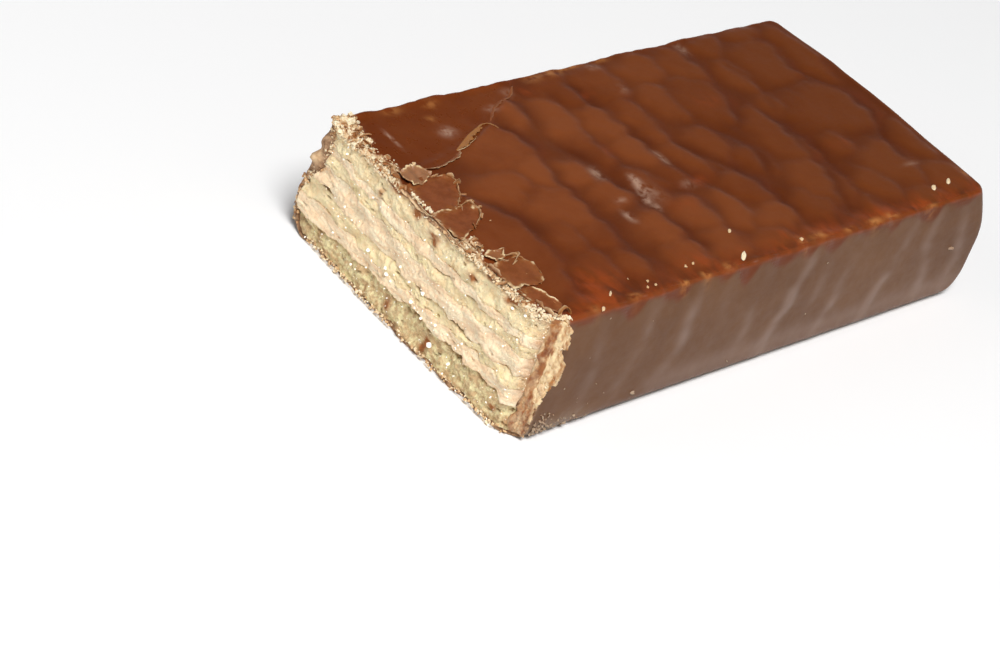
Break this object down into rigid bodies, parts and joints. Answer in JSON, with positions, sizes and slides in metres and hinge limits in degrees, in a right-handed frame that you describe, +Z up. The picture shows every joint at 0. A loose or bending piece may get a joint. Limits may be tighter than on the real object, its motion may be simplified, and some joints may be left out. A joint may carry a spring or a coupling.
{
  "type": "chocolate wafer bar",
  "caption": "Half of a chocolate-coated wafer bar, cut across, lying flat, with baked wafer sheets and nut cream showing at the rough cut.",
  "frame": {"origin": "middle of the bar's box, on the surface it lies on", "axes": "+X along the bar from the cut to the whole end, +Y to the far long side, +Z up"},
  "size_m": [0.064, 0.0346, 0.0141],
  "materials": {
    "milk_chocolate": "satin milk chocolate",
    "baked_wafer": "dry, crumbly baked wafer",
    "nut_cream": "smooth, dull nut cream"
  },
  "bodies": {
    "root": {"coat": "milk_chocolate", "wafer_1": "baked_wafer", "cream_1": "nut_cream", "wafer_2": "baked_wafer", "cream_2": "nut_cream", "wafer_3": "baked_wafer", "cream_3": "nut_cream", "wafer_4": "baked_wafer"}
  },
  "joints": []
}
